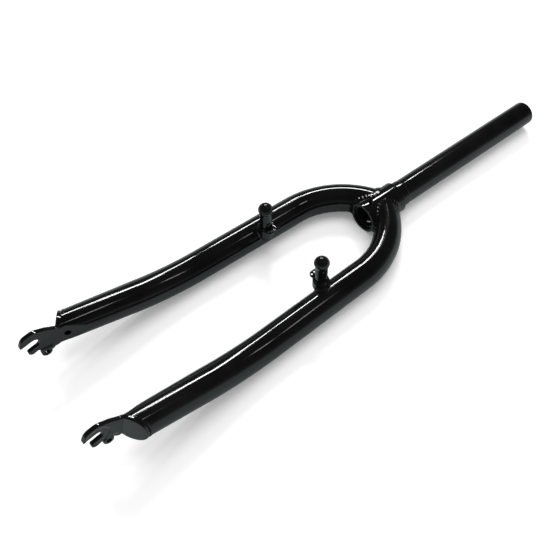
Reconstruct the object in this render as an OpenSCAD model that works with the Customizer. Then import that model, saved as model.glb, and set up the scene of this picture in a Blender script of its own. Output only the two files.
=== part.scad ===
// Rigid bicycle fork for a 24 inch wheel: steerer, crown sleeve, two bent blades, dropouts and brake bosses.
// X runs up the steerer, Y across the wheel, Z to the front. The origin is on the steerer axis at the
// shoulder that the lower headset race sits on. The fork lies on its back, front side up.

/* [Steerer] */
// Outside diameter of the steerer tube
steerer_od = 25.4; // [24:0.1:28.6]
// Wall thickness of the steerer tube
steerer_wall = 1.6; // [1.2:0.1:2.4]
// Length of the steerer above the race shoulder
steerer_len = 198; // [140:1:260]
// Height of the race seat step, measured on the radius
race_step = 0.5; // [0.3:0.05:0.8]
// Length of the race seat above the shoulder
race_seat_len = 8; // [5:0.5:12]

/* [Crown sleeve] */
// How much larger the sleeve is than the blades, measured on the radius
sleeve_over = 1.6; // [1:0.1:3]
// Length of the sleeve below the race shoulder
sleeve_len = 45; // [42:1:56]
// Bevel on the upper end of the sleeve
sleeve_bevel = 1; // [0.5:0.1:2]
// Depth from the lower end of the sleeve to the end of the steerer inside it
steerer_recess = 2.5; // [1:0.5:5]
// Diameter of the bolt hole through the crown, front to back
crown_hole_d = 6; // [5:0.1:7]
// Distance of the bolt hole below the race shoulder
crown_hole_drop = 34.5; // [30:0.5:37]

/* [Blades] */
// Outside diameter of the blade tube
blade_od = 28.6; // [25.4:0.1:29.8]
// Outside diameter of the blade where the dropout closes it
blade_tip_od = 25.8; // [24:0.1:28]
// Wall thickness of the blade tube
blade_wall = 1.6; // [1.2:0.1:2.4]
// Centre line radius of the bend at the crown
bend_r = 80; // [76:1:84]
// Angle of the bend at the crown
bend_angle = 62.5; // [58:0.1:64]
// Half distance between the blade centre lines where the bend ends
bend_half_gap = 51.2; // [50:0.1:53]
// Distance of the blades' upper edge at the sleeve below the race shoulder
crown_top = 10.72; // [8:0.1:14]
// Angle by which each blade leans outward
blade_splay = 1.7; // [1:0.1:2.2]
// Length of the straight blade between the bend and the rake
blade_straight = 110.6; // [90:0.2:150]
// Centre line radius of the rake curve
rake_r = 295; // [240:5:360]
// Angle of the rake curve
rake_angle = 13.4; // [10:0.1:16]
// Length of the tapered blade below the rake curve, to the dropout bend line
tip_len = 82; // [70:1:100]
// Diameter of the vent hole in the inner side of each blade
vent_d = 5; // [3:0.1:6]

/* [Dropouts] */
// Width of the hub that fits between the dropouts
hub_width = 100; // [98:0.5:102]
// Thickness of the dropout plate
drop_t = 4; // [3:0.1:4.6]
// Width of the axle slot
slot_w = 9.5; // [8.8:0.1:10]
// Angle of the axle slot below the blade axis
slot_angle = 24.4; // [18:0.2:28]
// Distance of the axle beyond the dropout bend line
axle_reach = 20; // [18:0.1:22]
// Height of the axle in front of the blade axis
axle_rise = 3.2; // [2:0.1:4]
// Inside radius of the bend that turns the plate across the blade end
leaf_r = 11; // [9:0.5:13]
// Angle through which the plate turns across the blade end
leaf_angle = 75; // [70:1:80]
// Diameter of the mudguard eyelet hole
eyelet_hole_d = 5; // [4.2:0.1:5.5]
// Outside diameter of the mudguard eyelet
eyelet_od = 10.4; // [9.6:0.1:11]
// Height of the eyelet face above the plate
eyelet_raise = 0.8; // [0.3:0.1:1.5]
// Depth of the round nut seat pressed into the outer face of the plate
seat_depth = 0.4; // [0.2:0.1:0.8]
// Diameter of the nut seat
seat_d = 20; // [18:0.5:21]

/* [Brake bosses] */
// Distance between the two brake stud axes
boss_gap = 80; // [76:0.5:84]
// Distance of the brake studs below the race shoulder
boss_drop = 134.4; // [120:0.2:160]
// Diameter of the boss base
boss_base_d = 12.8; // [11:0.1:14]
// Height of the spring plate seat above the blade axis
boss_seat_h = 18.5; // [17:0.1:21]
// Height of the flat under the boss base above the blade axis
boss_foot_h = 2; // [0:0.1:3]
// Diameter of the brake stud
stud_d = 8; // [7.8:0.1:8.2]
// Length of the brake stud above the spring plate
stud_len = 16; // [15:0.5:18]
// Diameter of the threaded hole in the stud
stud_hole_d = 5; // [4.8:0.1:5.4]
// Depth of the threaded hole in the stud
stud_hole_len = 15; // [10:0.5:18]
// Thickness of the spring plate
tab_t = 1.5; // [1:0.1:2]
// Width of the spring plate
tab_w = 12; // [11:0.1:13]
// Reach of the spring plate from the stud axis towards the wheel
tab_reach = 11.6; // [11:0.1:13]
// Radius of the spring plate's two corners
tab_corner_r = 4.4; // [2:0.1:5]
// Diameter of the three spring holes
tab_hole_d = 2.2; // [1.8:0.1:2.4]
// Radius of the row of spring holes
tab_hole_r = 9.3; // [9:0.1:9.6]
// Angle between the spring holes
tab_hole_step = 22; // [20:0.5:23]

/* [Stud caps] */
// Outside diameter of the cap body
cap_body_d = 10.6; // [10:0.1:12]
// Outside diameter of the cap head
cap_head_d = 13.2; // [12.2:0.1:14]
// Height of the cap head
cap_head_h = 8; // [6:0.1:10]
// Length of the whole cap
cap_len = 28; // [26:0.5:32]
// Length of the flare under the cap head
cap_flare = 4; // [2:0.5:6]

/* [Welds] */
// Leg length of the weld beads at the crown
crown_bead = 3.2; // [2:0.1:4]
// Leg length of the weld beads at the brake bosses
boss_bead = 2.6; // [1.6:0.1:3]
// Width of the weld beads at the dropouts, to each side of the seam
drop_bead = 1.6; // [1:0.1:2]

/* [Hidden] */
$fn = 72;

paint = "#0d0d0f";
plastic = "#161616";
seam = 0.1;
eps = 0.01;
far = 400;

steerer_r = steerer_od / 2;
steerer_bore_r = steerer_r - steerer_wall;
race_r = steerer_r + race_step;
sleeve_bore_r = steerer_r + seam;
steerer_end = steerer_recess - sleeve_len;

blade_r = blade_od / 2;
sleeve_r = blade_r + sleeve_over;
tip_r = blade_tip_od / 2;
splay_dir = 180 - blade_splay;
rake_x = blade_straight + rake_r * sin(rake_angle);
rake_z = rake_r * (1 - cos(rake_angle));
// Direction of the blade's straight part, its inward normal, and the direction of the tapered tip
leg_dir = [-cos(blade_splay), sin(blade_splay), 0];
leg_in = [-sin(blade_splay), -cos(blade_splay), 0];
tip_dir = [leg_dir.x * cos(rake_angle), leg_dir.y * cos(rake_angle), sin(rake_angle)];
tip_up = [-leg_dir.x * sin(rake_angle), -leg_dir.y * sin(rake_angle), cos(rake_angle)];
// The bend's outer side meets the sleeve at crown_top
bend_middle = bend_half_gap - bend_r * cos(blade_splay);
bend_centre = [-crown_top - sqrt(pow(bend_r + blade_r, 2) - pow(sleeve_r - bend_middle, 2)), bend_middle, 0];
bend_end = bend_centre - bend_r * leg_in;
tip_start = bend_end + rake_x * leg_dir + [0, 0, rake_z];
tip_end = tip_start + tip_len * tip_dir;
hub_half = hub_width / 2;

leaf_top_r = leaf_r + drop_t;
leaf_turn = [-leaf_top_r * sin(leaf_angle), leaf_top_r * (1 - cos(leaf_angle))];
leaf_dir = [-cos(leaf_angle), sin(leaf_angle)];
leaf_run = 40;
leaf_lap = 2;
leaf_steps = 15;
// Half width of the plate where it leaves the blade, as wide as the blade is there
neck_half = sqrt(tip_r * tip_r - pow(tip_end.y - hub_half - drop_t / 2, 2));
slot_out = 13;
eyelet_at = axle_reach * [0.515, -0.585];
vent_back = 10;
flat_start = 30;
flat_full = 8;
// The bends are a hair thinner than the straights, which reach a little way over their ends
bend_thin = 0.02;
lap = 0.4;
// Straight end of the blade that runs on from the bend into the sleeve
head_run = sleeve_r + blade_r;

boss_half = boss_gap / 2;
boss_base_r = boss_base_d / 2;
stud_r = stud_d / 2;
tab_top_h = boss_seat_h + tab_t;
stud_bevel = 0.6;
cap_gap = 0.15;
cap_roof = 3;

// Points round the bend of the plate, at a radius from the centre of the bend
function leaf_arc(r) = [for (i = [0 : leaf_steps]) let (a = leaf_angle * i / leaf_steps)
    [-r * sin(a), leaf_top_r - r * cos(a)]];
function unit(v) = v / norm(v);
function flat(v) = [v.x, v.y, 0];
// Nearest point of a surface, lifted by e: the sleeve, the bent blade, the straight blade, the boss base
function on_sleeve(p, e) = let (q = unit([0, p.y, p.z])) [p.x, 0, 0] + (sleeve_r + e) * q;
function on_bend(p, e) = let (c = bend_centre + bend_r * unit(flat(p - bend_centre)))
    c + (blade_r + e) * unit(p - c);
function on_leg(p, e) = let (c = bend_end + ((p - bend_end) * leg_dir) * leg_dir)
    c + (blade_r + e) * unit(p - c);
function on_boss(p, e) = let (c = [-boss_drop, boss_half, p.z]) c + (boss_base_r + e) * unit(p - c);
// Radius of the tapered tip at a distance along it
function tip_radius(s) = blade_r + (tip_r - blade_r) * s / tip_len;
function on_tip(p, e) = let (s = (p - tip_start) * tip_dir, c = tip_start + s * tip_dir)
    c + (tip_radius(s) + e) * unit(p - c);

// Section of a fillet bead between two surfaces a and b that meet at p with outward normals na and nb
function fillet_ring(p, na, nb, leg, bulge, a, b) =
    let (k = na * nb, sa = unit(nb - k * na), sb = unit(na - k * nb), mid = unit(na + nb),
         corner = p + (na + nb) * seam / (1 + k),
         a2 = a(p + leg * sa, seam), b2 = b(p + leg * sb, seam))
    [corner, a(p + leg / 2 * sa, seam), a2,
     a2 + (b2 - a2) * 0.2 + mid * bulge * 0.7, (a2 + b2) / 2 + mid * bulge,
     a2 + (b2 - a2) * 0.8 + mid * bulge * 0.7,
     b2, b(p + leg / 2 * sb, seam)];

// Skin over a list of rings; the last ring joins the first when the bead is closed
module skin(rings, closed) {
    n = len(rings);
    m = len(rings[0]);
    points = [for (ring = rings) each ring];
    sides = [for (i = [0 : n - (closed ? 1 : 2)], j = [0 : m - 1])
        let (i2 = (i + 1) % n, j2 = (j + 1) % m, a = i * m + j, b = i * m + j2, c = i2 * m + j2, d = i2 * m + j)
        each [[a, b, c], [a, c, d]]];
    ends = closed ? [] : [
        for (j = [1 : m - 2]) [0, j + 1, j],
        for (j = [1 : m - 2]) [(n - 1) * m, (n - 1) * m + j, (n - 1) * m + j + 1]];
    polyhedron(points = points, faces = concat(sides, ends));
}

// Outline with rounded corners from points [x, y, radius]
function corner_arc(a, b, c, steps = 6) =
    let (p = [b.x, b.y], u = unit([a.x, a.y] - p), v = unit([c.x, c.y] - p),
         half = acos(u * v) / 2, cut = b[2] / tan(half), m = p + unit(u + v) * b[2] / sin(half),
         s = p + u * cut - m, e = p + v * cut - m,
         a0 = atan2(s.y, s.x), turn = atan2(s.x * e.y - s.y * e.x, s * e))
    b[2] == 0 ? [p] : [for (i = [0 : steps]) m + b[2] * [cos(a0 + turn * i / steps), sin(a0 + turn * i / steps)]];
function rounded(pts) = let (n = len(pts))
    [for (i = [0 : n - 1]) each corner_arc(pts[(i + n - 1) % n], pts[i], pts[(i + 1) % n])];

module along_x() rotate([0, 90, 0]) children();
module mirrored(right) { if (right) children(); else mirror([0, 1, 0]) children(); }

module steerer_tube() color(paint) difference() {
    union() {
        along_x() cylinder(h = race_seat_len, r = race_r);
        translate([race_seat_len, 0, 0]) along_x()
            cylinder(h = race_step, r1 = race_r, r2 = steerer_r);
        translate([steerer_end, 0, 0]) along_x() cylinder(h = steerer_len - steerer_end, r = steerer_r);
    }
    translate([steerer_end - 1, 0, 0]) along_x()
        cylinder(h = steerer_len - steerer_end + 2, r = steerer_bore_r);
    crown_hole();
}

module crown_hole() translate([-crown_hole_drop, 0, -far / 2]) cylinder(h = far, d = crown_hole_d);

module crown_sleeve() color(paint) difference() {
    union() {
        translate([-sleeve_len, 0, 0]) along_x() cylinder(h = sleeve_len - sleeve_bevel, r = sleeve_r);
        translate([-sleeve_bevel, 0, 0]) along_x()
            cylinder(h = sleeve_bevel, r1 = sleeve_r, r2 = sleeve_r - sleeve_bevel);
    }
    translate([-sleeve_len - 1, 0, 0]) along_x() cylinder(h = sleeve_len + 2, r = sleeve_bore_r);
    crown_hole();
}

// Solid rod along the blade's centre line; end_r is its radius at the tip, over is added beyond the tip
module blade_rod(r, end_r, over) translate(bend_end) rotate([0, 0, splay_dir]) {
    translate([0, bend_r, 0]) rotate([0, 0, -90 - bend_angle])
        rotate_extrude(angle = bend_angle) translate([bend_r, 0]) circle(r - bend_thin);
    translate([0, bend_r, 0]) rotate([0, 0, -bend_angle]) translate([lap, -bend_r, 0])
        rotate([0, -90, 0]) cylinder(h = lap + head_run, r = r);
    translate([-lap, 0, 0]) along_x() cylinder(h = blade_straight + 2 * lap, r = r);
    translate([blade_straight, 0, rake_r]) rotate([90, 0, 0]) rotate([0, 0, -90])
        rotate_extrude(angle = rake_angle) translate([rake_r, 0]) circle(r - bend_thin);
    tip_cone(r, end_r, over);
}
module tip_cone(r, end_r, over) translate([rake_x, 0, rake_z]) rotate([0, -rake_angle, 0])
    translate([-lap, 0, 0]) along_x()
        cylinder(h = lap + tip_len + over, r1 = r, r2 = r + (end_r - r) * (tip_len + over) / tip_len);
module blade_tip(r, end_r, over) translate(bend_end) rotate([0, 0, splay_dir]) tip_cone(r, end_r, over);

// Frame of the dropout: x down the blade from the bend line, y out from the hub face, z to the front
module at_dropout() translate([tip_end.x, hub_half, tip_end.z]) rotate([0, rake_angle, 0])
    mirror([1, 0, 0]) children();

// Everything beyond the face that the plate presents to the blade end
module beyond_leaf() at_dropout() translate([0, 0, -far / 2]) linear_extrude(far) polygon(concat(
    leaf_arc(leaf_top_r), [leaf_turn + leaf_run * leaf_dir], [[far, leaf_run], [far, -leaf_run], [0, -leaf_run]]));

// Side of the blade end that is pressed flat, level with the hub face moved outward by y
module pressed_side(y) at_dropout() translate([0, y, -far / 2]) linear_extrude(far)
    polygon([[-flat_start, tip_end.y - hub_half - tip_r - 2], [-flat_full, 0], [leaf_run, 0],
             [leaf_run, -far / 4], [-flat_start, -far / 4]]);

module blade(right) color(paint) mirrored(right) difference() {
    blade_rod(blade_r, tip_r, leaf_run / 2);
    difference() {
        blade_rod(blade_r - blade_wall, tip_r - blade_wall, leaf_run);
        pressed_side(blade_wall);
    }
    pressed_side(0);
    beyond_leaf();
    translate([-far / 2, 0, 0]) along_x() cylinder(h = far, r = sleeve_r + seam);
    translate([-far / 2, -far, -far / 2]) cube([far, far + eps, far]);
    at_dropout() translate([-vent_back, -far / 8, -axle_rise]) rotate([-90, 0, 0])
        cylinder(h = far / 8 + 2 * blade_wall, d = vent_d);
}

// Flat part of the dropout plate, without its eyelet and slot
module plate_outline() polygon(rounded([
    [0, -neck_half, 0], [0, neck_half, 0], axle_reach * [0.925, 0.88, 0.65], axle_reach * [1.53, 0.63, 0.5],
    axle_reach * [1.69, 0.15, 0.15], [axle_reach * 1.1, axle_rise - slot_w * 0.1, 0],
    axle_reach * [1.1, -0.25, 0], axle_reach * [1.15, -0.25, 0],
    axle_reach * [1.28, -0.21, 0.05], axle_reach * [1.25, -0.42, 0.1], axle_reach * [0.775, -0.33, 0.1],
    [eyelet_at.x + eyelet_od * 0.2, eyelet_at.y, 0], [eyelet_at.x - eyelet_od * 0.2, eyelet_at.y, 0],
    axle_reach * [0.23, -0.39, 0.125]]));

// Cylinder across the plate, from height y with length h
module across(at, y, h, r) at_dropout() translate([at.x, y, at.y]) rotate([-90, 0, 0]) cylinder(h = h, r = r);

module dropout(right) color(paint) mirrored(right) difference() {
    union() {
        at_dropout() rotate([90, 0, 0]) mirror([0, 0, 1]) linear_extrude(drop_t) plate_outline();
        across(eyelet_at, 0, drop_t + eyelet_raise, eyelet_od / 2);
        leaf();
    }
    across(eyelet_at, -1, drop_t + eyelet_raise + 2, eyelet_hole_d / 2);
    across([axle_reach, axle_rise], -1, drop_t + 2, slot_w / 2);
    at_dropout() translate([axle_reach, -1, axle_rise]) rotate([0, slot_angle, 0])
        translate([0, 0, -slot_w / 2]) cube([slot_out * 2, drop_t + 2, slot_w]);
    across([axle_reach, axle_rise], drop_t - seat_depth, 1 + seat_depth, seat_d / 2);
}

// The bent part of the plate, trimmed to the outside of the blade
module leaf() intersection() {
    at_dropout() translate([0, 0, -far / 8]) linear_extrude(far / 4) polygon(concat(
        [[leaf_lap, 0]], leaf_arc(leaf_top_r), [leaf_turn + leaf_run * leaf_dir],
        [leaf_arc(leaf_r)[leaf_steps] + leaf_run * leaf_dir],
        [for (i = [leaf_steps : -1 : 0]) leaf_arc(leaf_r)[i]], [[leaf_lap, drop_t]]));
    blade_tip(blade_r, tip_r, leaf_run / 2);
}

module brake_boss(right) color(paint) mirrored(right) translate([-boss_drop, boss_half, 0]) difference() {
    union() {
        difference() {
            translate([0, 0, boss_foot_h]) cylinder(h = boss_seat_h - boss_foot_h, r = boss_base_r);
            translate([boss_drop, -boss_half, 0]) translate(bend_end) rotate([0, 0, splay_dir])
                along_x() cylinder(h = blade_straight, r = blade_r + seam);
        }
        translate([0, 0, boss_seat_h - 1]) cylinder(h = tab_t + stud_len + 1 - stud_bevel, r = stud_r);
        translate([0, 0, tab_top_h + stud_len - stud_bevel])
            cylinder(h = stud_bevel, r1 = stud_r, r2 = stud_r - stud_bevel);
    }
    translate([0, 0, tab_top_h + stud_len - stud_hole_len])
        cylinder(h = stud_hole_len + 1, d = stud_hole_d);
}

module spring_plate(right) color(paint) mirrored(right)
    translate([-boss_drop, boss_half, boss_seat_h]) difference() {
        union() {
            cylinder(h = tab_t, r = boss_base_r + 0.4);
            linear_extrude(tab_t) polygon(rounded([
                [-tab_w / 2, 0, 0], [tab_w / 2, 0, 0],
                [tab_w / 2, -tab_reach, tab_corner_r], [-tab_w / 2, -tab_reach, tab_corner_r]]));
        }
        translate([0, 0, -1]) cylinder(h = tab_t + 2, r = stud_r + seam);
        for (i = [-1 : 1]) rotate(-90 + i * tab_hole_step)
            translate([tab_hole_r, 0, -1]) cylinder(h = tab_t + 2, d = tab_hole_d);
    }

// Push-on cap: straight body, a lip and a domed head, bored to slide over the stud
module stud_cap(right) color(plastic) mirrored(right)
    translate([-boss_drop, boss_half, tab_top_h + cap_gap]) difference() {
        rotate_extrude() polygon(concat(
            [[0, 0], [cap_body_d / 2, 0]],
            [for (t = [0 : 0.2 : 1]) [cap_body_d / 2 + (cap_head_d - cap_body_d) / 2 * 0.7 * t * t,
                cap_len - cap_head_h - cap_flare * (1 - t)]],
            [for (a = [0 : 10 : 90]) [cap_head_d / 2 * cos(a),
                cap_len - cap_head_h + 1.6 + (cap_head_h - 1.6) * sin(a)]]));
        translate([0, 0, -1]) cylinder(h = cap_len - cap_roof - cap_head_h / 2 + 1, r = stud_r + seam);
    }

// Closed fillet where a blade meets the sleeve
module crown_weld(right, count = 60) color(paint) mirrored(right) skin([for (i = [0 : count - 1])
    let (a = i * 360 / count, z = blade_r * sin(a), y = sqrt(sleeve_r * sleeve_r - z * z),
         t = asin((y - bend_centre.y) / (bend_r + blade_r * cos(a))),
         p = [bend_centre.x + (bend_r + blade_r * cos(a)) * cos(t), y, z],
         n = [cos(a) * cos(t), cos(a) * sin(t), sin(a)])
    fillet_ring(p, unit([0, y, z]), n, crown_bead, 0.5 + 0.25 * (i % 2),
        function(q, e) on_sleeve(q, e), function(q, e) on_bend(q, e))], true);

// Open fillet round the outer side of the boss base
module boss_weld(right, count = 28) color(paint) mirrored(right) skin([for (i = [0 : count])
    let (a = -boss_arc + 90 + 2 * boss_arc * i / count, taper = max(0.25, min(1, 4 * i / count, 4 - 4 * i / count)),
         q = [-boss_drop + boss_base_r * cos(a), boss_half + boss_base_r * sin(a), 0],
         d = (q - bend_end) * leg_in, p = [q.x, q.y, sqrt(blade_r * blade_r - d * d)],
         c = bend_end + ((p - bend_end) * leg_dir) * leg_dir)
    fillet_ring(p, unit([cos(a), sin(a), 0]), unit(p - c), boss_bead * taper, 0.3 + 0.2 * (i % 2),
        function(q, e) on_boss(q, e), function(q, e) on_leg(q, e))], false);
boss_arc = 100;

// Face of the plate towards the blade end: position along the blade for a distance y out of the hub face
function leaf_face(y) = y < leaf_turn.y ? -sqrt(max(0, leaf_top_r * leaf_top_r - (leaf_top_r - y) * (leaf_top_r - y)))
    : leaf_turn.x - (y - leaf_turn.y) / tan(leaf_angle);
// Point of the seam on the blade's outside at angle a, found by stepping along the tip
function seam_point(a, s, k = 6) =
    let (p = tip_start + s * tip_dir + tip_radius(s) * (cos(a) * tip_up - sin(a) * leg_in),
         u = (tip_end.x - p.x) * cos(rake_angle) + (p.z - tip_end.z) * sin(rake_angle))
    k == 0 ? p : seam_point(a, s + leaf_face(p.y - hub_half) - u, k - 1);

// Low bead over the seam between the blade end and the plate, round its outer side
module dropout_weld(right, count = 36) color(paint) mirrored(right) skin([for (i = [0 : count])
    let (a = seam_from + (180 - 2 * seam_from) * i / count, p = seam_point(a, tip_len),
         h = 0.7 + 0.25 * (i % 2), w = drop_bead)
    [on_tip(p - w * tip_dir, seam), on_tip(p, seam), on_tip(p + w * tip_dir, seam),
     on_tip(p + w * 0.7 * tip_dir, h * 0.8), on_tip(p, h), on_tip(p - w * 0.7 * tip_dir, h * 0.8)]], false);
seam_from = -12;

steerer_tube();
crown_sleeve();
blade(false);  // blade_left
blade(true);  // blade_right
dropout(false);  // dropout_left
dropout(true);  // dropout_right
brake_boss(false);  // brake_boss_left
brake_boss(true);  // brake_boss_right
spring_plate(false);  // spring_plate_left
spring_plate(true);  // spring_plate_right
stud_cap(false);  // stud_cap_left
stud_cap(true);  // stud_cap_right
crown_weld(false);  // crown_weld_left
crown_weld(true);  // crown_weld_right
boss_weld(false);  // boss_weld_left
boss_weld(true);  // boss_weld_right
dropout_weld(false);  // dropout_weld_left
dropout_weld(true);  // dropout_weld_right
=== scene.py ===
"""Rigid bicycle fork on its back on a pale studio floor, sprayed with one gloss black enamel."""

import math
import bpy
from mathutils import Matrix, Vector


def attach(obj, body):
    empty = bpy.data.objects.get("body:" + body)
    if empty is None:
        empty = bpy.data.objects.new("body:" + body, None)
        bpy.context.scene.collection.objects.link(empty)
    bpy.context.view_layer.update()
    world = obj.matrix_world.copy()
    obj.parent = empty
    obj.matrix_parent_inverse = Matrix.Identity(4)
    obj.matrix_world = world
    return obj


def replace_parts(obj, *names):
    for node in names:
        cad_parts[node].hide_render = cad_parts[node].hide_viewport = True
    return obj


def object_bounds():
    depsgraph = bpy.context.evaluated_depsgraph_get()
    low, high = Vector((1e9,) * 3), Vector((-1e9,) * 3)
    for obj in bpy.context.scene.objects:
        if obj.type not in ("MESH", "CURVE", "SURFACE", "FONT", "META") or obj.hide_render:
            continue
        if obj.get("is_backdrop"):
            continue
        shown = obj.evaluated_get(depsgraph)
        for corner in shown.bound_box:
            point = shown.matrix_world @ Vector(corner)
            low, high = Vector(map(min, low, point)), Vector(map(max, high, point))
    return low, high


bl_info = {
    "name": "Rigid bicycle fork",
    "version": (1, 0, 0),
    "blender": (4, 5, 0),
    "location": "View3D > Sidebar > Fork",
    "description": "Dresses the fork: steerer, sleeve, blades, dropouts, bosses, caps and welds",
    "category": "Add Mesh",
}

import bmesh
import bpy
import numpy as np
from bpy.props import FloatProperty, FloatVectorProperty, PointerProperty
from mathutils import Matrix, Vector
from mathutils.geometry import delaunay_2d_cdt

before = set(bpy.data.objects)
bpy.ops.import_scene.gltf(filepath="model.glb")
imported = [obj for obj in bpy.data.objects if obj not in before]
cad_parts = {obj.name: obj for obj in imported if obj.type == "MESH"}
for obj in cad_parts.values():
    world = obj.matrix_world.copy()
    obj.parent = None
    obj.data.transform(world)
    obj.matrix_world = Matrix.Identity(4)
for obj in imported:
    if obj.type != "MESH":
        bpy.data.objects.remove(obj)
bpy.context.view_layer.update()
TAU = 2 * math.pi
FRONT = np.array([0.0, 0.0, 1.0])
PAINT = "paint_black"

# The photograph's camera, fitted to the fork: degrees, metres, and pixels of a 550 pixel picture
CAMERA_TURN, CAMERA_RISE, CAMERA_ROLL = -37.13, 54.03, -1.67
CAMERA_TARGET, CAMERA_AWAY = (-0.15581, 0.00006, 0.0), 0.66327
FOCAL_PIXELS, PICTURE_PIXELS, SENSOR_MM = 707.09, 550.0, 36.0

# Degrees round from +X and above the floor, metres away, wide and high, watts, seen in the enamel
LAMPS = (
    ("window_right", 62.0, 39.0, 6.0, 1.00, 0.42, 52.0, True),
    ("window_left", 46.0, 43.0, 6.0, 1.20, 0.54, 80.0, True),
    ("side_window", -46.0, 61.0, 1.7, 0.20, 0.09, 0.35, True),
    ("overhead", 20.0, 80.0, 1.9, 1.2, 1.2, 14.0, False),
)
LAMP_AIM = (-0.1, 0.0, 0.0)


def linear(code):
    """sRGB hex to the linear colour that the shaders take."""
    rgb = [int(code[i : i + 2], 16) / 255 for i in (1, 3, 5)]
    return tuple(c / 12.92 if c <= 0.04045 else ((c + 0.055) / 1.055) ** 2.4 for c in rgb)


def number(key, value, note, **how):
    """A number of the fork, shown under its own key."""
    label = key.replace("_", " ").capitalize()
    return FloatProperty(name=label, description=note, default=value, **how)


def colour(name, code, note):
    default = linear(code)
    return FloatVectorProperty(
        name=name, description=note, subtype="COLOR", size=3, default=default
    )


# Lengths in metres and angles in degrees. Fold, caps, collar, vent and eyelet follow the
# photograph, the rest the solids.
LENGTHS = (
    ("steerer_diameter", 0.0254, "Outside of the steerer tube"),
    ("steerer_wall", 0.0016, "Wall of the steerer tube"),
    ("steerer_length", 0.198, "Above the race shoulder"),
    ("steerer_recess", 0.0025, "Steerer end inside the sleeve rim"),
    ("race_diameter", 0.0264, "Seat of the lower race"),
    ("race_length", 0.008, "Seat above the shoulder"),
    ("sleeve_diameter", 0.0318, "Outside of the crown sleeve"),
    ("sleeve_length", 0.045, "Below the race shoulder"),
    ("crown_hole", 0.006, "Bolt hole, front to back"),
    ("crown_hole_drop", 0.0345, "Below the race shoulder"),
    ("blade_diameter", 0.0286, "Tube down to the rake"),
    ("tip_diameter", 0.0258, "Tube at the dropout"),
    ("bend_radius", 0.08, "Centre line of the bend"),
    ("bend_drop", 0.0914, "End of the bend below the race shoulder"),
    ("bend_half_gap", 0.0512, "Blade centre from the middle at the bend end"),
    ("straight", 0.1106, "Between bend and rake"),
    ("rake_radius", 0.295, "Centre line of the rake curve"),
    ("tip_length", 0.082, "Taper from the rake to the dropout bend"),
    ("vent", 0.0058, "In the inner side of each blade"),
    ("hub_width", 0.1, "Between the two dropouts"),
    ("plate", 0.004, "Dropout plate"),
    ("slot_width", 0.0095, "Axle slot"),
    ("axle_reach", 0.02, "Axle beyond the dropout bend"),
    ("axle_rise", 0.0032, "Axle in front of the blade axis"),
    ("fold_radius", 0.0015, "Inside of the fold across the blade end"),
    ("eyelet_hole", 0.0048, "Mudguard eyelet"),
    ("eyelet", 0.0096, "Mudguard eyelet"),
    ("eyelet_set", 0.0014, "Eyelet pressed towards the hub"),
    ("nut_seat", 0.02, "Pressed seat of the axle nut"),
    ("boss_gap", 0.08, "Between the brake studs"),
    ("boss_drop", 0.1344, "Below the race shoulder"),
    ("boss_base", 0.0128, "Round base of the boss"),
    ("boss_collar", 0.0152, "Under the spring plate"),
    ("boss_seat", 0.0185, "Above the blade axis"),
    ("stud", 0.008, "Brake stud"),
    ("stud_length", 0.016, "Above the spring plate"),
    ("spring_plate", 0.0015, "With its three spring holes"),
    ("spring_reach", 0.0116, "Stud axis towards the wheel"),
    ("spring_width", 0.012, "Along the blade"),
    ("cap_body", 0.0116, "Straight part"),
    ("cap_head", 0.0141, "Domed head"),
    ("cap_head_height", 0.008, "Lip to dome top"),
    ("cap_length", 0.028, "Whole cap"),
)
ANGLES = (
    ("bend_angle", 62.5, "Turn of the bend at the crown"),
    ("splay", 1.7, "Outward lean of each blade"),
    ("rake_angle", 13.4, "Turn of the rake curve"),
    ("slot_angle", 24.4, "Axle slot below the blade axis"),
    ("fold_angle", 57.0, "Turn of the fold"),
)


class ForkSizes(bpy.types.PropertyGroup):
    """Sizes of the fork."""

    __annotations__ = {row[0]: number(*row, unit="LENGTH", precision=5) for row in LENGTHS}
    __annotations__ |= {k: number(k, math.radians(a), t, unit="ROTATION") for k, a, t in ANGLES}
    bend_squeeze: number(
        "bend_squeeze", 0.055, "How much thinner the tube gets across its bend", subtype="FACTOR"
    )


class ForkColours(bpy.types.PropertyGroup):
    """Colours of finishes and studio."""

    enamel: colour("Enamel", "#0B0C0B", "Gloss black stoving enamel")
    enamel_dust: colour("Enamel haze", "#151615", "Where the enamel is thin or dusty")
    rubber: colour("Cap", "#0E0E0F", "Moulded cap")
    bore: colour("Bore", "#1B1A19", "Overspray and bare steel inside the tubes")
    floor: colour("Floor", "#FFFFFF", "Paper floor")
    floor_reflected: colour("Floor in reflections", "#B4BEBE", "Paper as the enamel mirrors it")


def mm(name):
    """A length of the fork in millimetres."""
    return getattr(bpy.context.scene.fork_sizes, name) * 1000.0


def rad(name):
    """An angle of the fork in radians."""
    return getattr(bpy.context.scene.fork_sizes, name)


def unit(v):
    """Vectors divided by their own lengths."""
    return v / np.linalg.norm(v, axis=-1, keepdims=True)


# Mesh building


def grid_faces(m, n, wrap_m=False, wrap_n=False, skip=()):
    """Quads between the points of an m by n grid, numbered row by row.
    skip lists the (i0, i1, j0, j1) cells left open."""
    i, j = np.arange(m if wrap_m else m - 1)[:, None], np.arange(n if wrap_n else n - 1)[None, :]
    keep = np.ones((i.size, j.size), bool)
    for i0, i1, j0, j1 in skip:
        keep[i0:i1, j0:j1] = False
    i2, j2 = (i + 1) % m, (j + 1) % n
    quads = np.stack(np.broadcast_arrays(i * n + j, i2 * n + j, i2 * n + j2, i * n + j2), -1)
    return quads[keep]


def fan(ring, centre=None):
    """A ring of points closed to its middle: triangles from each side to the centre."""
    n = len(ring)
    centre = ring.mean(0) if centre is None else np.asarray(centre, float)
    i = np.arange(n)
    return np.vstack([ring, centre]), np.stack([i, (i + 1) % n, np.full(n, n)], 1)


def sheet(points, wrap_m=False, wrap_n=False, skip=()):
    m, n = points.shape[:2]
    return points.reshape(-1, 3), grid_faces(m, n, wrap_m, wrap_n, skip)


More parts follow.
